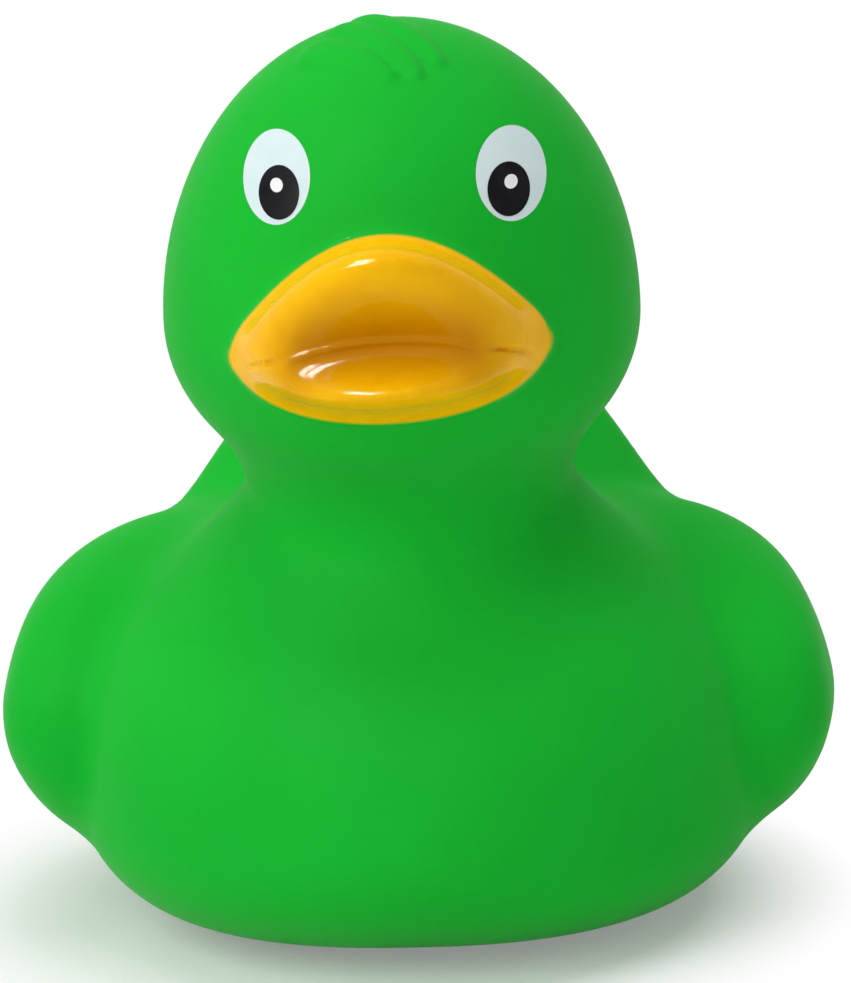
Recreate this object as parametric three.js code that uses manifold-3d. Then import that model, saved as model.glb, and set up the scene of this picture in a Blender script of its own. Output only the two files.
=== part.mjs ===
// A bath duck: one hollow moulding in soft vinyl with a small vent under its base.
// Millimetres, Z up, the bill towards -Y, the base on Z = 0 and the origin under the middle of the part.
import * as THREE from "three";
import { ParametricGeometry } from "three/addons/geometries/ParametricGeometry.js";
import { mergeVertices } from "three/addons/utils/BufferGeometryUtils.js";
import Module from "manifold-3d";

const wasm = await Module();
wasm.setup();

// Body: an egg cut flat at the base
const bodyHalfWidth = 37.7;
const bodyFront = 34.5;
const bodyBack = 38;
const bodyTop = 23.2;
const bodyHeight = 21;
const baseSink = 6.5;
const baseRound = 4;

// Neck: a cone from the shoulders to the throat
const shoulder = { y: 2.5, z: 28, r: 25.5 };
const throat = { y: -3.5, z: 49, r: 16.6 };
const neckBlend = 9;

// Head: an egg, fuller above its widest line
const headHalfWidth = 22.4;
const headHalfLength = 22.5;
const headUp = 26.2;
const headDown = 20.5;
const headPlace = { y: -7.5, z: 63.4 };
const headBlend = 9;

// Tail: a wide cone that narrows to its tip
const tailRoot = { y: 18, z: 21.5, r: 13 };
const tailTip = { y: 39.5, z: 48.5, r: 4.2 };
const tailRootSpread = 2.9;
const tailTipSpread = 2;
const tailBlend = 10;

// Wings: leaf-shaped pads that follow the flanks
const wingThick = 3.5;
const wingHem = 1.4;
const wingPlace = { y: 2, z: 23 };
const wingFront = 21;
const wingBack = 31;
const wingUp = 13.6;
const wingDown = 13.4;
const wingTilt = 14;
const wingRound = 5;
const wingBlend = 1.5;

// Bill: open, with a turned-up upper half and a dished lower half
const billHalfWidth = 15;
const billUp = 8.8;
const billDown = 6.3;
const billHeight = 59.6;
const billReach = 38;
const billRoot = -20;
const billSweep = 11;
const billGape = 5.5;
const billTaper = 0.12;
const billTilt = 0.275;
const billLip = 1.6;
const mouthRise = 0.4;

// Tuft: three low locks on the crown, combed forward and to one side
const lockLength = 5;
const lockWidth = 2.2;
const lockThick = 1.7;
const lockSink = 1;
const lockTurn = 47;
const lockGap = 3.2;
const tuftLean = 17;

// Rings of the bill's surface, and the shares of them on the dish, the lip and the outer wall
const billRings = 16;
const dishShare = 9 / billRings;
const lipShare = 3 / billRings;
const wallShare = 3 / billRings;

// How much closer the columns of the wrapped surface stand towards the tail
const tailCrowding = 0.55;

// Wall and vent
const wall = 2.4;
const ventDiameter = 3.5;
const ventPlace = 4;

const rad = THREE.MathUtils.degToRad;
const { clamp, lerp, smoothstep } = THREE.MathUtils;

// Distances are negative inside a shape
function blend(a, b, k) {
  const h = Math.max(k - Math.abs(a - b), 0);
  return Math.min(a, b) - (h * h) / (4 * k);
}

function trim(a, b, k) {
  return -blend(-a, -b, k);
}

function oval(offsets, halves) {
  const near = Math.hypot(...offsets.map((v, i) => v / halves[i]));
  const slope = Math.hypot(...offsets.map((v, i) => v / halves[i] ** 2));
  return (near * (near - 1)) / (slope + 1e-9);
}

function cone(x, y, z, a, b, spreadA, spreadB) {
  const dy = b.y - a.y;
  const dz = b.z - a.z;
  const t = clamp(((y - a.y) * dy + (z - a.z) * dz) / (dy * dy + dz * dz), 0, 1);
  const side = x / lerp(spreadA, spreadB, t);
  return Math.hypot(side, y - lerp(a.y, b.y, t), z - lerp(a.z, b.z, t)) - lerp(a.r, b.r, t);
}

function hullAt(x, y, z) {
  const up = z - bodyHeight;
  const along = y - 1;
  const halfLength = along < 0 ? bodyFront : bodyBack;
  const halfHeight = up > 0 ? bodyTop : bodyHeight + baseSink;
  return oval([x, along, up], [bodyHalfWidth, halfLength, halfHeight]);
}

// The pad's outline in side view, round in front and leaf-shaped behind
function wingOutline(y, z) {
  const c = Math.cos(rad(wingTilt));
  const s = Math.sin(rad(wingTilt));
  const along = (y - wingPlace.y) * c + (z - wingPlace.z) * s;
  const across = (z - wingPlace.z) * c - (y - wingPlace.y) * s;
  return oval([along, across], [along < 0 ? wingFront : wingBack, across > 0 ? wingUp : wingDown]);
}

function headAt(x, y, z) {
  const up = z - headPlace.z;
  return oval([x, y - headPlace.y, up], [headHalfWidth, headHalfLength, up > 0 ? headUp : headDown]);
}

function duckAt(x, y, z) {
  const hull = hullAt(x, y, z);
  const tail = cone(x, y, z, tailRoot, tailTip, tailRootSpread, tailTipSpread);
  const thick = lerp(wingHem, wingThick, smoothstep(z, 4, bodyHeight));
  const wing = trim(hull - thick, wingOutline(y, z), wingRound);
  const neck = cone(x, y, z, shoulder, throat, 1, 1);
  let d = blend(blend(hull, tail, tailBlend), wing, wingBlend);
  d = trim(blend(d, neck, neckBlend), -z, baseRound);
  return blend(d, headAt(x, y, z), headBlend);
}

// The bill's outline is rounded below and tent-shaped above: its radius in a direction from the mouth
function billRadius(across, up) {
  const power = up > 0 ? 1.5 : 2;
  const halfHeight = up > 0 ? billUp : billDown;
  return (Math.abs(across / billHalfWidth) ** power + Math.abs(up / halfHeight) ** power) ** (-1 / power);
}

// The front of the bill is a valley along the mouth line, which closes at the corners
function billFront(x, up) {
  const side = Math.min((x / billHalfWidth) ** 2, 1);
  const mouth = mouthRise * (1 - side);
  const room = (up > mouth ? billUp - mouth : billDown + mouth) * Math.sqrt(1.02 - side);
  const open = Math.min(Math.abs(up - mouth) / room, 1) ** 1.3;
  return -billReach + billSweep * side + billGape * (1 - side) * (1 - open);
}

// Rings run from the mouth across the dish, over the lip, back along the outer wall and close inside the head
function billPoint(around, along, target) {
  const across = Math.cos(-around * 2 * Math.PI);
  const up = Math.sin(-around * 2 * Math.PI);
  const rim = billRadius(across, up) - billLip;
  const over = clamp((along - dishShare) / lipShare, 0, 1) * (Math.PI / 2);
  const back = clamp((along - dishShare - lipShare) / wallShare, 0, 1);
  const reach = Math.min(along / dishShare, 1) * rim;
  let y = billFront(across * reach, up * reach) + billLip * (1 - Math.cos(over));
  const wallStart = y;
  y = lerp(y, billRoot, back);
  const radius = along === 1 ? 0 : reach + billLip * Math.sin(over) + billTaper * (y - wallStart);
  target.set(across * radius, y, billHeight + up * radius + billTilt * (billRoot - y));
}

// A sphere whose vertices slide out along their own rays to the edge of a shape, closer together at the tail.
// Each station of the rays' path has the share of the rows below it, the ray's start and the ray's elevation.
function wrap(distance, path, columns, rows) {
  const sphere = new THREE.SphereGeometry(1, columns, rows).rotateX(Math.PI / 2);
  const place = sphere.getAttribute("position");
  const at = new THREE.Vector3();
  for (let i = 0; i < place.count; i++) {
    at.fromBufferAttribute(place, i);
    const row = Math.round((Math.asin(clamp(at.z, -1, 1)) / Math.PI + 0.5) * rows) / rows;
    const k = clamp(path.findIndex((s) => s.share > row) - 1, 0, path.length - 2);
    const from = row >= 1 ? path.length - 2 : k;
    const [a, b] = [path[from], path[from + 1]];
    const t = (row - a.share) / (b.share - a.share);
    const fromTail = Math.atan2(at.x, at.y);
    const turn = Math.PI / 2 - fromTail + tailCrowding * Math.sin(fromTail);
    const lift = rad(lerp(a.lift, b.lift, t));
    const ray = new THREE.Vector3(Math.cos(turn) * Math.cos(lift), Math.sin(turn) * Math.cos(lift), Math.sin(lift));
    const start = new THREE.Vector3(0, lerp(a.y, b.y, t), lerp(a.z, b.z, t));
    const away = (r) => distance(start.x + ray.x * r, start.y + ray.y * r, start.z + ray.z * r);
    let [near, far] = [0, 0.5];
    while (away(far) < 0) [near, far] = [far, far + 0.5];
    for (let n = 0; n < 30; n++) {
      const middle = (near + far) / 2;
      if (away(middle) < 0) near = middle;
      else far = middle;
    }
    at.copy(start).addScaledVector(ray, near);
    place.setXYZ(i, at.x, at.y, at.z);
  }
  return sphere;
}

// A closed surface as a solid, without the triangles that shrink to a line at a pole
function solid(geometry) {
  const bare = new THREE.BufferGeometry();
  bare.setIndex(geometry.index);
  bare.setAttribute("position", geometry.getAttribute("position"));
  const merged = mergeVertices(bare, 1e-3);
  const corners = merged.index.array;
  const kept = [];
  for (let i = 0; i < corners.length; i += 3) {
    const [a, b, c] = corners.slice(i, i + 3);
    if (a !== b && b !== c && c !== a) kept.push(a, b, c);
  }
  const vertProperties = merged.getAttribute("position").array;
  return new wasm.Manifold(new wasm.Mesh({ numProp: 3, vertProperties, triVerts: new Uint32Array(kept) }));
}

function geometryOf(body) {
  const mesh = body.getMesh();
  const geometry = new THREE.BufferGeometry();
  geometry.setAttribute("position", new THREE.BufferAttribute(mesh.vertProperties, 3));
  geometry.setIndex(new THREE.BufferAttribute(mesh.triVerts, 1));
  geometry.computeVertexNormals();
  return geometry;
}

// The rays leave the middle of the body up to the back, climb through the neck and end in the head
const spine = [
  { share: 0, y: 1, z: bodyHeight, lift: -90 },
  { share: 0.26, y: 1, z: bodyHeight, lift: -8 },
  { share: 0.34, y: 1, z: bodyHeight, lift: 22 },
  { share: 0.52, y: 1, z: bodyHeight, lift: 46 },
  { share: 0.56, y: -1, z: lerp(bodyHeight, headPlace.z, 0.3), lift: 37 },
  { share: 0.6, y: -4, z: lerp(bodyHeight, headPlace.z, 0.6), lift: 13 },
  { share: 0.66, y: headPlace.y, z: headPlace.z - 2, lift: -24 },
  { share: 1, y: headPlace.y, z: headPlace.z, lift: 90 },
];

const outside = solid(wrap(duckAt, spine, 56, 50));
const inside = solid(wrap((x, y, z) => duckAt(x, y, z) + wall, spine, 32, 30));

const bill = solid(new ParametricGeometry(billPoint, 48, billRings));

// Locks lie side by side across the line they are combed along
function lock(step) {
  const lump = new THREE.SphereGeometry(1, 16, 10).scale(lockWidth, lockLength, lockThick);
  lump.rotateZ(rad(lockTurn)).translate(0, 0, headUp - lockSink);
  const across = (step * lockGap) / headUp;
  lump.rotateY(across * Math.cos(rad(lockTurn))).rotateX(rad(tuftLean) - across * Math.sin(rad(lockTurn)));
  return solid(lump.translate(0, headPlace.y, headPlace.z));
}

const vent = new THREE.CylinderGeometry(ventDiameter / 2, ventDiameter / 2, 3 * wall, 20);
vent.rotateX(Math.PI / 2).translate(0, ventPlace, wall / 2);

let shell = outside.add(bill);
for (const step of [-1, 0, 1]) shell = shell.add(lock(step));
shell = shell.subtract(inside).subtract(solid(vent));

const skin = geometryOf(shell);
skin.computeBoundingBox();
const middle = skin.boundingBox.getCenter(new THREE.Vector3());
skin.translate(-middle.x, -middle.y, -skin.boundingBox.min.z);

const vinyl = new THREE.MeshStandardMaterial({ color: 0x27b548, roughness: 0.5, metalness: 0 });
const duck = new THREE.Mesh(skin, vinyl);
duck.name = "duck";

const part = new THREE.Group();
part.name = "rubber_duck";
part.add(duck);

export default part;
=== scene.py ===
"""A green bath duck in soft vinyl with a painted open bill and printed eyes, on a white floor."""
import math

import bmesh
import bpy
import numpy as np
from mathutils import Matrix, Vector


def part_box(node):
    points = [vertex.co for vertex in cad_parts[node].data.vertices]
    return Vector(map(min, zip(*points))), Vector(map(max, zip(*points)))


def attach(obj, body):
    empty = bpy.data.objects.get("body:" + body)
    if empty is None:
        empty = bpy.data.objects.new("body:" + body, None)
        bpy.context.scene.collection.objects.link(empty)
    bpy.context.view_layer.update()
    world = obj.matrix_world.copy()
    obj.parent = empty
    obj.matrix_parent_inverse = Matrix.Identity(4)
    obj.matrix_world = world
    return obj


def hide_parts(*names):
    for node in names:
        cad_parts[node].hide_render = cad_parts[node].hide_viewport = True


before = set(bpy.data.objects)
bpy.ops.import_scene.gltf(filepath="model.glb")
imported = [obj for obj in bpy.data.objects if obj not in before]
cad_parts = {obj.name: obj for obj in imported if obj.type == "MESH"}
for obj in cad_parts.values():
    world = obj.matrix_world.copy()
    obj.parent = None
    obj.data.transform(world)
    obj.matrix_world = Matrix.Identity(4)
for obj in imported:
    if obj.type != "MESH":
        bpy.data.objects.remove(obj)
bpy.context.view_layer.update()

# Sizes of the moulding in millimetres. The duck faces -Y. The ends of a cone are given by their place along Y,
# height and radius.
BODY_HALF_WIDTH = 34.3
BODY_FRONT = 35.0
BODY_BACK = 38.0
BODY_TOP = 25.5
BODY_HEIGHT = 14.8
BODY_MIDDLE = 1.0
BODY_BOX = 2.5
BASE_SINK = 2.4
BASE_ROUND = 4.0

SHOULDER = (2.5, 28.0, 21.0)
THROAT = (-3.5, 45.0, 15.2)
NECK_BLEND = 9.0

HEAD_HALF_WIDTH = 22.9
HEAD_HALF_LENGTH = 22.5
HEAD_UP = 28.2
HEAD_DOWN = 17.8
HEAD_Y = -7.5
HEAD_Z = 61.4
HEAD_BLEND = 6.0

TAIL_ROOT = (18.0, 21.5, 11.0)
TAIL_TIP = (39.5, 48.5, 4.2)
TAIL_ROOT_SPREAD = 3.14
TAIL_TIP_SPREAD = 3.55
TAIL_BLEND = 10.0

WING_THICK = 7.5
WING_FOOT = -1.4
WING_CROWN = 23.4
WING_Y = 4.0
WING_Z = 21.1
WING_FRONT = 17.0
WING_BACK = 31.0
WING_UP = 13.8
WING_DOWN = 19.8
WING_TILT = math.radians(17)
WING_ROUND = 4.5
WING_SOFT = 13.0
WING_BLEND = 1.8

BILL_HALF_WIDTH = 14.5
BILL_UP = 7.3
BILL_DOWN = 7.1
BILL_WIDE = 1.7
BILL_HEIGHT = 60.1
BILL_SIDE = -0.4
BILL_ROLL = math.radians(1.7)
BILL_ROOT = -20.0
BILL_REACH = 38.0
BILL_SWEEP = 11.0
BILL_GAPE = 5.0
BILL_TAPER = 0.16
BILL_TILT = 0.275
BILL_LIP = 2.4
BILL_CORNER = 2.6
BILL_FILLET = 2.4
MOUTH_REACH = 0.74
MOUTH_RISE = -0.7
MOUTH_DROP = 1.2
MOUTH_BEND = 0.6
TENT_POWER = 0.9
DISH_POWER = 1.5
DISH_DOWN = 5.6
UPPER_RIM = 1.0
BEAD_RISE = 0.5
BEAD_HALF = 0.32
BEAD_END = 9.4
BEAD_FADE = 0.8
CREASE_DEEP = 0.8
CREASE_HALF = 0.22

# Each lock of the tuft runs from its root on the crown to its tip, seen from above
LOCKS = (
    ((-2.2, -8.5), (4.5, -16.8)),
    ((-4.4, -10.5), (2.5, -18.9)),
    ((-6.8, -13.5), (-0.2, -19.4)),
)
LOCK_HALF_WIDTH = 2.2
LOCK_RISE = 0.55
LOCK_TAPER = 0.6
LOCK_FADE = 0.35
LOCK_ROUND = 0.8
TUFT_LOW = 10.0
TUFT_HIGH = 14.0

VENT_Y = 4.0
VENT_RADIUS = 1.75
VENT_DEEP = 7.0
VENT_ROUND = 0.5

# Printed eyes, seen from the front: middle of the white, with the pair's shift and slope, its half sizes and
# lean, then the pupil and the glint
EYE_X = 10.8
EYE_SIDE = 0.3
EYE_DROP = 0.15
EYE_Z = 76.7
EYE_HALF = (3.2, 4.1)
EYE_LEAN = math.radians(6.5)
PUPIL_SHIFT = (-0.26, -1.28)
PUPIL_HALF = (1.93, 2.36)
GLINT_SHIFT = (-0.06, -0.66)
GLINT_HALF = (0.6, 0.62)
PRINT_STEP = 0.03

CELL = 0.8
MM = 0.001
SHIFT_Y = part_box("duck")[0][1] / MM + BILL_REACH


# Distances are negative inside a shape
def blend(a, b, k):
    h = np.maximum(k - np.abs(a - b), 0.0)
    return np.minimum(a, b) - h * h / (4 * k)


def trim(a, b, k):
    return -blend(-a, -b, k)


def step(x, low, high):
    t = np.clip((x - low) / (high - low), 0.0, 1.0)
    return t * t * (3 - 2 * t)


def oval(offsets, halves):
    near = np.sqrt(sum((o / h) ** 2 for o, h in zip(offsets, halves)))
    slope = np.sqrt(sum((o / h**2) ** 2 for o, h in zip(offsets, halves)))
    return near * (near - 1) / (slope + 1e-9)


def cone(x, y, z, a, b, spread_a=1.0, spread_b=1.0):
    dy, dz = b[0] - a[0], b[1] - a[1]
    t = np.clip(((y - a[0]) * dy + (z - a[1]) * dz) / (dy * dy + dz * dz), 0.0, 1.0)
    side = x / (spread_a + (spread_b - spread_a) * t)
    away = np.sqrt(side**2 + (y - a[0] - t * dy) ** 2 + (z - a[1] - t * dz) ** 2)
    return away - (a[2] + (b[2] - a[2]) * t)


def hull(x, y, z):
    up, along = z - BODY_HEIGHT, y - BODY_MIDDLE
    half_length = np.where(along < 0, BODY_FRONT, BODY_BACK)
    half_height = np.where(up > 0, BODY_TOP, BODY_HEIGHT + BASE_SINK)
    across, rise = np.abs(x) / BODY_HALF_WIDTH, np.abs(up) / half_height
    section = (across**BODY_BOX + rise**BODY_BOX + 1e-12) ** (1 / BODY_BOX)
    near = np.hypot(section, along / half_length)
    fall = section ** (2 - BODY_BOX)
    slope_x = fall * across ** (BODY_BOX - 1) / BODY_HALF_WIDTH
    slope_z = fall * rise ** (BODY_BOX - 1) / half_height
    return near * (near - 1) / (np.sqrt(slope_x**2 + slope_z**2 + (along / half_length**2) ** 2) + 1e-9)


def wing_outline(y, z):
    c, s = math.cos(WING_TILT), math.sin(WING_TILT)
    along = (y - WING_Y) * c + (z - WING_Z) * s
    across = (z - WING_Z) * c - (y - WING_Y) * s
    halves = (np.where(along < 0, WING_FRONT, WING_BACK), np.where(across > 0, WING_UP, WING_DOWN))
    return oval((along, across), halves)


def lock_rise(x, y):
    rise = np.zeros_like(x)
    for (x0, y0), (x1, y1) in LOCKS:
        dx, dy = x1 - x0, y1 - y0
        t = np.clip(((x - x0) * dx + (y - y0) * dy) / (dx * dx + dy * dy), 0.0, 1.0)
        half = LOCK_HALF_WIDTH * (1 - LOCK_TAPER * t**2)
        across = np.hypot(x - x0 - t * dx, y - y0 - t * dy) / half
        height = LOCK_RISE * (1 - LOCK_FADE * t)
        rise = np.maximum(rise, height * np.clip(1 - across**2, 0.0, 1.0) ** LOCK_ROUND)
    return rise


def moulding(x, y, z):
    """The duck without its bill."""
    body = hull(x, y, z)
    tail = cone(x, y, z, TAIL_ROOT, TAIL_TIP, TAIL_ROOT_SPREAD, TAIL_TIP_SPREAD)
    thick = WING_THICK * step(z, WING_FOOT, WING_CROWN)
    crisp = step(z, WING_Z - WING_DOWN, WING_Z + WING_UP / 2)
    wing = trim(body - thick, wing_outline(y, z), WING_SOFT + (WING_ROUND - WING_SOFT) * crisp)
    d = blend(blend(body, tail, TAIL_BLEND), wing, WING_BLEND)
    d = trim(blend(d, cone(x, y, z, SHOULDER, THROAT), NECK_BLEND), -z, BASE_ROUND)
    up = z - HEAD_Z
    half_height = np.where(up > 0, HEAD_UP, HEAD_DOWN)
    head = oval((x, y - HEAD_Y, up), (HEAD_HALF_WIDTH, HEAD_HALF_LENGTH, half_height))
    head = head - lock_rise(x, y) * step(up, TUFT_LOW, TUFT_HIGH)
    d = blend(d, head, HEAD_BLEND)
    vent = np.maximum(np.hypot(x, y - VENT_Y) - VENT_RADIUS, z - VENT_DEEP)
    return trim(d, -vent, VENT_ROUND)


def bill_places(x, y, z):
    """Places on the bill: across it, above the line of its corners, and as a share of its half width."""
    c, r = math.cos(BILL_ROLL), math.sin(BILL_ROLL)
    across, up = x - BILL_SIDE, z - BILL_HEIGHT
    across, up = across * c + up * r, up * c - across * r
    return across, up - BILL_TILT * (BILL_ROOT - y), np.minimum(np.abs(across) / BILL_HALF_WIDTH, 1.0)


def bill_rim(side):
    return -BILL_REACH + BILL_SWEEP * side**2


def mouth_line(side):
    return MOUTH_RISE - MOUTH_DROP * np.minimum(side / MOUTH_BEND, 1.0) ** 2


def bill(x, y, z):
    """The open bill: tent-shaped above and round below, with a dish on each side of the mouth line."""
    across, up, side = bill_places(x, y, z)
    grow = BILL_TAPER * np.maximum(y - bill_rim(side), 0.0)
    half = BILL_HALF_WIDTH + grow
    share = np.minimum(np.abs(across) / half, 1.0)
    tent = np.maximum(np.cos(share * math.pi / 2), 1e-4) ** TENT_POWER
    lean = 1.4 * (BILL_UP + grow) / half * np.sin(share * math.pi / 2)
    above = (up - (BILL_UP + grow) * tent) / np.sqrt(1 + lean**2)
    below = oval((across, np.minimum(up - BILL_WIDE, 0.0)), (half, BILL_DOWN + BILL_WIDE))
    outline = np.maximum(trim(above, below, BILL_CORNER), -8.0)
    mouth = mouth_line(side)
    wide = side / MOUTH_REACH
    room = np.maximum(BILL_UP * np.cos(side * math.pi / 2) ** TENT_POWER - UPPER_RIM - mouth, UPPER_RIM / 2)
    opened = np.clip((up - mouth) / room, 0.0, 1.0)
    upper = np.clip(1 - wide**2, 0.0, 1.0) ** DISH_POWER * (1 - np.sin(opened * math.pi / 2) ** 1.2)
    lower = np.clip(1 - wide**2 - ((mouth - up) / DISH_DOWN) ** 2, 0.0, 1.0) ** DISH_POWER
    front = bill_rim(side) + BILL_GAPE * np.where(up > mouth, upper, lower)
    inner = 1 - step(np.abs(across), BEAD_END - BEAD_FADE, BEAD_END + BEAD_FADE)
    front = front - BEAD_RISE * inner * np.exp(-(((up - mouth) / BEAD_HALF) ** 2))
    corner = (1 - inner) * (1 - step(BILL_HALF_WIDTH - np.abs(across), 2.2, 0.9))
    front = front + CREASE_DEEP * corner * np.exp(-(((up - mouth) / CREASE_HALF) ** 2))
    return np.maximum(trim(outline, (front - y) * 0.8, BILL_LIP), y - BILL_ROOT + 4)


def mouth_shade_share(x, y, z):
    """Share of painted shade in the bill's paint: 1 along the mouth line, 0 from the rim of the bill outwards.
    """
    across, up, side = bill_places(x, y, z)
    up = up - mouth_line(side)
    near = 1 - step(np.abs(up), 0.3, np.where(up > 0, 0.8 * BILL_UP, 0.75 * BILL_DOWN))
    return near * (1 - step(side, 0.5, 0.85)) * step(bill_rim(side) + BILL_GAPE + 2 - y, 0.0, 1.0)


def duck(x, y, z):
    return blend(moulding(x, y, z), bill(x, y, z), BILL_FILLET)


def surface_nets(distance, low, high, cell):
    """A quad mesh around a shape, one vertex in each cell that its edge passes through."""
    axes = [np.arange(a, b + cell, cell) for a, b in zip(low, high)]
    grid = np.meshgrid(*axes, indexing="ij")
    value = distance(*grid)
    inside = value < 0
    shape = tuple(n - 1 for n in value.shape)
    total = np.zeros(shape + (3,))
    count = np.zeros(shape)
    crossings = []
    for axis in range(3):
        near = tuple(slice(0, -1) if i == axis else slice(None) for i in range(3))
        far = tuple(slice(1, None) if i == axis else slice(None) for i in range(3))
        cut = inside[near] != inside[far]
        share = np.where(cut, value[near] / np.where(cut, value[near] - value[far], 1.0), 0.0)
        place = [grid[i][near] + (share * cell if i == axis else 0.0) for i in range(3)]
        others = [i for i in range(3) if i != axis]
        for a in (0, 1):
            for b in (0, 1):
                window = [slice(None)] * 3
                window[others[0]] = slice(a, shape[others[0]] + a)
                window[others[1]] = slice(b, shape[others[1]] + b)
                window = tuple(window)
                count += cut[window]
                for i in range(3):
                    total[..., i] += np.where(cut[window], place[i][window], 0.0)
        crossings.append((axis, others, cut, inside[near]))
    used = count > 0
    number = np.full(shape, -1)
    number[used] = np.arange(used.sum())
    quads = []
    for axis, others, cut, begins in crossings:
        core = tuple(slice(None) if i == axis else slice(1, -1) for i in range(3))
        at = np.argwhere(cut[core])
        at[:, others] += 1
        corners = []
        for a, b in ((-1, -1), (0, -1), (0, 0), (-1, 0)):
            cell_at = at.copy()
            cell_at[:, others] += (a, b)
            corners.append(number[tuple(cell_at.T)])
        quad = np.stack(corners, axis=1)
        turned = begins[tuple(at.T)] == (axis == 1)
        quad[turned] = quad[turned][:, ::-1]
        quads.append(quad)
    return total[used] / count[used][:, None], np.concatenate(quads)


def slopes(distance, points, reach=0.02):
    moves = np.eye(3) * reach
    rises = [distance(*(points + m).T) - distance(*(points - m).T) for m in moves]
    return np.stack(rises, axis=1) / (2 * reach)


def settle(distance, points, rounds=5):
    """Moves points onto the edge of a shape."""
    for _ in range(rounds):
        slope = slopes(distance, points)
        away = distance(*points.T) / np.maximum((slope * slope).sum(axis=1), 0.05)
        points = points - np.clip(away, -0.5, 0.5)[:, None] * slope
    return points


def to_frame(points):
    return (points + (0.0, SHIFT_Y, 0.0)) * MM


def add_object(name, mesh, materials):
    obj = bpy.data.objects.new(name, mesh)
    bpy.context.collection.objects.link(obj)
    for material in materials:
        mesh.materials.append(material)
    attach(obj, "root")
    return obj


# Nodes
def new_material(name, **values):
    material = bpy.data.materials.new(name)
    material.use_nodes = True
    shader = material.node_tree.nodes["Principled BSDF"]
    for socket, value in values.items():
        shader.inputs[socket.replace("_", " ")].default_value = value
    return material, material.node_tree, shader


def add_node(tree, kind, links=(), **values):
    node = tree.nodes.new(kind)
    for name, value in values.items():
        if hasattr(node, name):
            setattr(node, name, value)
        else:
            node.inputs[name.replace("_", " ")].default_value = value
    for socket, source in links:
        tree.links.new(source, node.inputs[socket])
    return node


def noise(tree, scale, detail=2.0):
    coordinates = add_node(tree, "ShaderNodeTexCoord")
    links = [("Vector", coordinates.outputs["Object"])]
    return add_node(tree, "ShaderNodeTexNoise", links, Scale=scale, Detail=detail).outputs["Fac"]


def spread(tree, value, low, high, from_low=0.3, from_high=0.7):
    links = [("Value", value)]
    sockets = {"From_Min": from_low, "From_Max": from_high, "To_Min": low, "To_Max": high}
    return add_node(tree, "ShaderNodeMapRange", links, **sockets).outputs["Result"]


def mix(tree, share, first, second):
    node = tree.nodes.new("ShaderNodeMix")
    node.data_type = "RGBA"
    tree.links.new(share, node.inputs[0])
    for socket, colour in ((node.inputs[6], first), (node.inputs[7], second)):
        if isinstance(colour, tuple):
            socket.default_value = colour
        else:
            tree.links.new(colour, socket)
    return node.outputs[2]


def bump(tree, shader, layers):
    """Adds bump layers, each a height, its depth in metres and its strength."""
    below = None
    for height, depth, strength in layers:
        node = add_node(tree, "ShaderNodeBump", [("Height", height)], Distance=depth, Strength=strength)
        if below:
            tree.links.new(below, node.inputs["Normal"])
        below = node.outputs["Normal"]
    tree.links.new(below, shader.inputs["Normal"])


GREEN = (0.011, 0.49, 0.034, 1.0)
GREEN_DEEP = (0.009, 0.44, 0.029, 1.0)
YELLOW = (1.0, 0.53, 0.002, 1.0)
YELLOW_DEEP = (0.95, 0.48, 0.001, 1.0)
# Painted shade: the bill's paint darkens to this deep orange along the mouth line, where the hollows of the
# open bill fall in shade
PAINTED_MOUTH_SHADE = (0.58, 0.23, 0.001, 1.0)
EYE_WHITE = ((0.68, 0.80, 0.81, 1.0), (0.65, 0.78, 0.79, 1.0))
EYE_BLACK = ((0.010, 0.010, 0.012, 1.0), (0.016, 0.016, 0.018, 1.0))
EYE_GLINT = ((0.86, 0.88, 0.88, 1.0), (0.82, 0.84, 0.85, 1.0))

# Where the paint's edge fades and where its gloss begins, in millimetres from where the bill meets the head
PAINT_FADE = (-0.6, -0.2)
PAINT_START = -0.8


def skin_colour(tree):
    """Green vinyl, and yellow paint where the bill is, darkened towards the mouth line by painted shade. Thin
    paint lets some green through at its edge.
    """
    vinyl = mix(tree, spread(tree, noise(tree, 45.0), 0.0, 1.0), GREEN, GREEN_DEEP)
    paint = mix(tree, spread(tree, noise(tree, 420.0), 0.0, 1.0), YELLOW, YELLOW_DEEP)
    # Painted shade along the mouth line, read from the mesh's mouth attribute
    mouth_shade = add_node(tree, "ShaderNodeAttribute", attribute_name="mouth").outputs["Fac"]
    paint = mix(tree, mouth_shade, paint, PAINTED_MOUTH_SHADE)
    edge = add_node(tree, "ShaderNodeAttribute", attribute_name="paint").outputs["Fac"]
    return mix(tree, spread(tree, edge, 0.0, 1.0, *PAINT_FADE), vinyl, paint)


def make_vinyl():
    gloss = {"Specular_IOR_Level": 0.004, "Sheen_Weight": 0.12, "Sheen_Roughness": 0.4}
    material, tree, shader = new_material("vinyl", **gloss)
    tree.links.new(skin_colour(tree), shader.inputs["Base Color"])
    tree.links.new(spread(tree, noise(tree, 160.0, 4.0), 0.5, 0.62), shader.inputs["Roughness"])
    fine = noise(tree, 2600.0, 3.0)
    broad = noise(tree, 70.0)
    bump(tree, shader, [(broad, 0.0004, 0.15), (fine, 0.00006, 0.25)])
    return material


def make_paint():
    material, tree, shader = new_material("bill_paint", Specular_IOR_Level=0.07)
    tree.links.new(skin_colour(tree), shader.inputs["Base Color"])
    tree.links.new(spread(tree, noise(tree, 300.0, 4.0), 0.1, 0.16), shader.inputs["Roughness"])
    bump(tree, shader, [(noise(tree, 240.0), 0.0002, 0.08)])
    return material


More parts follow.
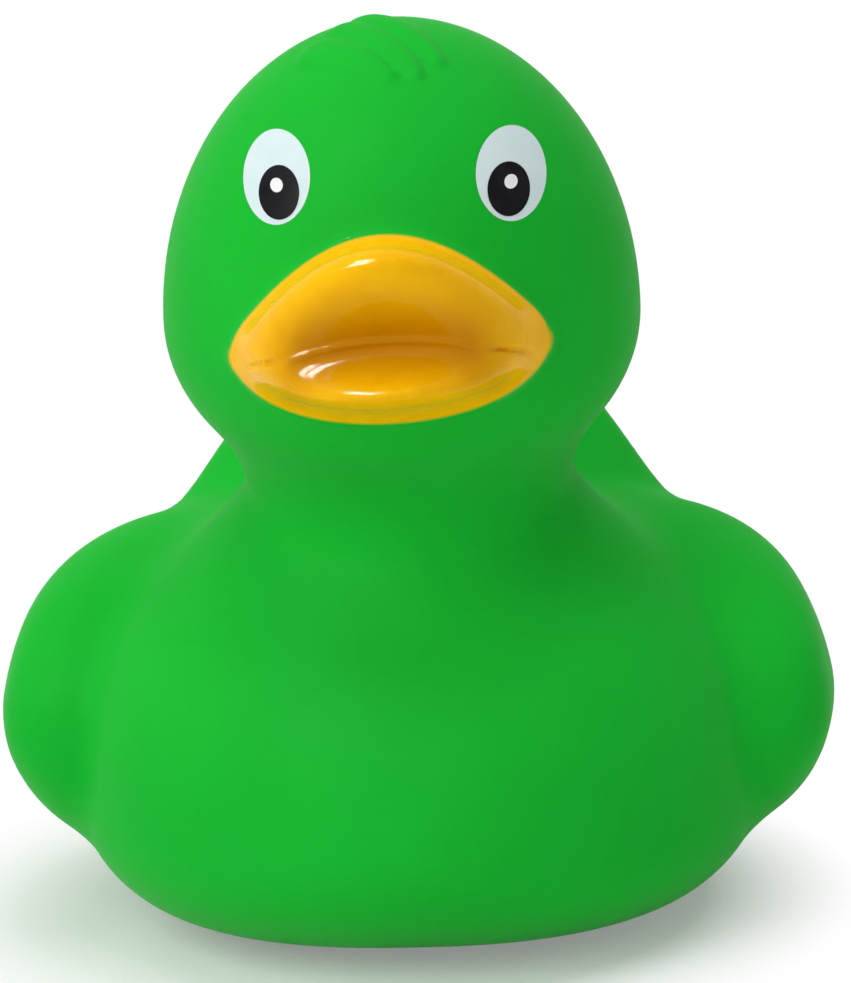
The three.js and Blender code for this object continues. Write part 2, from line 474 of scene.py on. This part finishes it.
def make_print(name, colours, roughness):
    material, tree, shader = new_material(name, Specular_IOR_Level=0.01)
    colour = mix(tree, spread(tree, noise(tree, 500.0), 0.0, 1.0), *colours)
    rough = spread(tree, noise(tree, 700.0, 4.0), roughness, roughness + 0.1)
    tree.links.new(colour, shader.inputs["Base Color"])
    tree.links.new(rough, shader.inputs["Roughness"])
    bump(tree, shader, [(noise(tree, 2600.0, 3.0), 0.00004, 0.2)])
    return material


# Pieces
def refine(bm, wanted, rounds):
    """Splits the faces whose middles are wanted."""
    for _ in range(rounds):
        middles = np.array([f.calc_center_median()[:] for f in bm.faces])
        chosen = wanted(*middles.T)
        edges = {e for f, keep in zip(bm.faces, chosen) if keep for e in f.edges}
        bmesh.ops.subdivide_edges(bm, edges=list(edges), cuts=1, use_grid_fill=True)


def make_duck():
    low = (-BODY_HALF_WIDTH - WING_THICK - 4, -BILL_REACH - 3, -2.4)
    high = (BODY_HALF_WIDTH + WING_THICK + 4, TAIL_TIP[0] + 8, HEAD_Z + HEAD_UP + 4)
    points, quads = surface_nets(duck, low, high, CELL)
    points = settle(duck, points)
    mesh = bpy.data.meshes.new("duck_skin")
    mesh.from_pydata(points.tolist(), [], quads.tolist())
    bm = bmesh.new()
    bm.from_mesh(mesh)

    def near_bill(x, y, z):
        return bill(x, y, z) < 1.8

    def near_tuft(x, y, z):
        return (lock_rise(x, y) > 0) & (z > HEAD_Z + TUFT_HIGH)

    def near_vent(x, y, z):
        return (np.hypot(x, y - VENT_Y) < VENT_RADIUS + 1.2) & (z < VENT_DEEP + 1)

    refine(bm, near_bill, 2)
    refine(bm, near_tuft, 2)
    refine(bm, near_vent, 2)
    bmesh.ops.recalc_face_normals(bm, faces=bm.faces)
    bm.to_mesh(mesh)
    bm.free()
    points = np.empty(len(mesh.vertices) * 3)
    mesh.vertices.foreach_get("co", points)
    points = settle(duck, points.reshape(-1, 3))
    paint = moulding(*points.T) - bill(*points.T)
    mesh.vertices.foreach_set("co", to_frame(points).ravel())
    mesh.attributes.new("paint", "FLOAT", "POINT").data.foreach_set("value", paint)
    # The mouth attribute holds the share of painted shade along the mouth line
    mesh.attributes.new("mouth", "FLOAT", "POINT").data.foreach_set("value", mouth_shade_share(*points.T))
    slot = [int(max(paint[v] for v in f.vertices) > PAINT_START) for f in mesh.polygons]
    mesh.polygons.foreach_set("material_index", slot)
    mesh.polygons.foreach_set("use_smooth", [True] * len(mesh.polygons))
    mesh.update()
    obj = add_object("duck_skin", mesh, [make_vinyl(), make_paint()])
    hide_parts("duck")


def on_face(x, z):
    """Points of the head's front at places seen from the front."""
    near, far = np.full_like(x, HEAD_Y - HEAD_HALF_LENGTH - 4), np.full_like(x, HEAD_Y)
    for _ in range(40):
        middle = (near + far) / 2
        outside = moulding(x, middle, z) > 0
        near, far = np.where(outside, middle, near), np.where(outside, far, middle)
    return np.stack([x, far, z], axis=1)


def make_print_oval(name, middle, halves, lean, lift, material, rings=12, around=64):
    """A thin print that follows the head."""
    turn = np.arange(around) * 2 * math.pi / around
    share = np.arange(1, rings + 1) / rings
    across = np.concatenate([[0.0], (share[:, None] * np.cos(turn)).ravel()]) * halves[0]
    up = np.concatenate([[0.0], (share[:, None] * np.sin(turn)).ravel()]) * halves[1]
    x = middle[0] + across * math.cos(lean) + up * math.sin(lean)
    z = middle[1] + up * math.cos(lean) - across * math.sin(lean)
    points = on_face(x, z)
    slope = slopes(moulding, points)
    points = points + slope / np.linalg.norm(slope, axis=1)[:, None] * lift
    faces = [(0, 1 + i, 1 + (i + 1) % around) for i in range(around)]
    for r in range(rings - 1):
        a = 1 + r * around
        b = a + around
        faces += [(a + i, b + i, b + (i + 1) % around, a + (i + 1) % around) for i in range(around)]
    mesh = bpy.data.meshes.new(name)
    mesh.from_pydata(to_frame(points).tolist(), [], faces)
    mesh.polygons.foreach_set("use_smooth", [True] * len(mesh.polygons))
    add_object(name, mesh, [material])


def make_eyes():
    white = make_print("eye_white", EYE_WHITE, 0.35)
    black = make_print("eye_black", EYE_BLACK, 0.3)
    glint = make_print("eye_glint", EYE_GLINT, 0.35)
    for side, name in ((-1, "left"), (1, "right")):
        lean = -side * EYE_LEAN
        layers = (
            ("white", (0.0, 0.0), EYE_HALF, white),
            ("pupil", PUPIL_SHIFT, PUPIL_HALF, black),
            ("glint", GLINT_SHIFT, GLINT_HALF, glint),
        )
        for level, (layer, shift, halves, material) in enumerate(layers, start=1):
            middle = (EYE_SIDE + side * (EYE_X + shift[0]), EYE_Z + shift[1] - side * EYE_DROP)
            make_print_oval(f"eye_{layer}_{name}", middle, halves, lean, level * PRINT_STEP, material)


# Stage
LOOK_AT = Vector((0.0, SHIFT_Y * MM, 0.042))
PHOTO_HEIGHT = 983
CAMERA_TURN = math.radians(2.12)
CAMERA_RISE = math.radians(12.0)
CAMERA_ROLL = math.radians(1.92)
CAMERA_AWAY = 0.45
PIXELS_PER_MM = 10.15
AIM_RIGHT = 0.0014
SENSOR = 36.0


def make_camera():
    back = Vector((
        math.sin(CAMERA_TURN) * math.cos(CAMERA_RISE),
        -math.cos(CAMERA_TURN) * math.cos(CAMERA_RISE),
        math.sin(CAMERA_RISE),
    ))
    right = Vector((math.cos(CAMERA_TURN), math.sin(CAMERA_TURN), 0.0))
    up = back.cross(right)
    data = bpy.data.cameras.new("camera")
    data.sensor_fit = "VERTICAL"
    data.sensor_height = SENSOR
    data.lens = PIXELS_PER_MM * CAMERA_AWAY / MM / PHOTO_HEIGHT * SENSOR
    camera = bpy.data.objects.new("camera", data)
    bpy.context.collection.objects.link(camera)
    place = LOOK_AT + back * CAMERA_AWAY + right * AIM_RIGHT
    turn = Matrix((right, up, back)).transposed().to_4x4()
    camera.matrix_world = Matrix.Translation(place) @ turn @ Matrix.Rotation(-CAMERA_ROLL, 4, "Z")
    bpy.context.scene.camera = camera


def make_lamp(name, place, size, power, mirrored=True, lighting=True):
    """A panel aimed at the duck, seen in reflections if mirrored and by matt surfaces if lighting."""
    data = bpy.data.lights.new(name, "AREA")
    data.shape = "RECTANGLE"
    data.size, data.size_y = size
    data.energy = power
    lamp = bpy.data.objects.new(name, data)
    bpy.context.collection.objects.link(lamp)
    target = Vector((0.0, 0.0, 0.05))
    lamp.location = place
    lamp.visible_glossy = mirrored
    lamp.visible_diffuse = lighting
    lamp.rotation_euler = (target - Vector(place)).to_track_quat("-Z", "Y").to_euler()


def seen_directly(tree):
    """1 for rays from the camera and for mirrored or refracted ones."""
    path = add_node(tree, "ShaderNodeLightPath")
    first = add_node(tree, "ShaderNodeMath", operation="MAXIMUM")
    tree.links.new(path.outputs["Is Camera Ray"], first.inputs[0])
    tree.links.new(path.outputs["Is Glossy Ray"], first.inputs[1])
    second = add_node(tree, "ShaderNodeMath", operation="MAXIMUM")
    tree.links.new(first.outputs[0], second.inputs[0])
    tree.links.new(path.outputs["Is Transmission Ray"], second.inputs[1])
    return second.outputs[0]


# The floor glows less around the duck, so that its shadow shows there. The weaker glow, centred a little to
# the left, also paints shade of its own around the duck
FLOOR_HALF = 3.0
AMBIENT = 0.36
FLOOR_LIFT = 0.25
SHADOW_NEAR = 0.034
SHADOW_FAR = 0.050
SHADOW_SIDE = -0.006
WINDOW_SIZE = (0.30, 0.13)
WINDOW_POWER = 14.0


def make_stage():
    mesh = bpy.data.meshes.new("floor")
    corners = [(x * FLOOR_HALF, y * FLOOR_HALF, 0) for x, y in ((-1, -1), (1, -1), (1, 1), (-1, 1))]
    mesh.from_pydata(corners, [], [(0, 1, 2, 3)])
    floor = bpy.data.objects.new("floor", mesh)
    bpy.context.collection.objects.link(floor)
    material, tree, shader = new_material("floor", Base_Color=(0.9, 0.9, 0.9, 1), Roughness=0.9)
    shader.inputs["Specular IOR Level"].default_value = 0.0
    glow = add_node(tree, "ShaderNodeEmission", Color=(1, 1, 1, 1), Strength=1.0)
    lifted = add_node(tree, "ShaderNodeMixShader")
    coordinates = add_node(tree, "ShaderNodeTexCoord")
    away = add_node(tree, "ShaderNodeVectorMath", [(0, coordinates.outputs["Object"])], operation="LENGTH")
    bright = spread(tree, away.outputs["Value"], FLOOR_LIFT, 1.0, SHADOW_NEAR, SHADOW_FAR)
    share = add_node(tree, "ShaderNodeMath", [(0, seen_directly(tree)), (1, bright)], operation="MULTIPLY")
    tree.links.new(share.outputs[0], lifted.inputs["Fac"])
    tree.links.new(shader.outputs[0], lifted.inputs[1])
    tree.links.new(glow.outputs[0], lifted.inputs[2])
    tree.links.new(lifted.outputs[0], tree.nodes["Material Output"].inputs["Surface"])
    mesh.materials.append(material)
    # Moves the painted shade around the duck a little to the left
    floor.location.x = SHADOW_SIDE

    world = bpy.data.worlds.new("world")
    bpy.context.scene.world = world
    world.use_nodes = True
    tree = world.node_tree
    strength = spread(tree, seen_directly(tree), AMBIENT, 1.0, 0.0, 1.0)
    background = tree.nodes["Background"]
    background.inputs["Color"].default_value = (1, 1, 1, 1)
    tree.links.new(strength, background.inputs["Strength"])

    make_lamp("window_upper", (-0.24, -0.30, 0.56), WINDOW_SIZE, WINDOW_POWER, True, False)
    make_lamp("window_lower", (-0.31, -0.39, 0.42), WINDOW_SIZE, WINDOW_POWER, True, False)
    make_lamp("soft_left", (-0.50, -0.40, 0.50), (0.6, 0.6), 3.1, False)
    make_lamp("soft_front", (0.15, -0.7, 0.45), (0.6, 0.6), 0.5, False)
    make_lamp("soft_top", (0.0, 0.1, 0.8), (0.7, 0.7), 2.9, False)


make_duck()
make_eyes()
make_stage()
make_camera()
bpy.context.scene.view_settings.view_transform = "Standard"
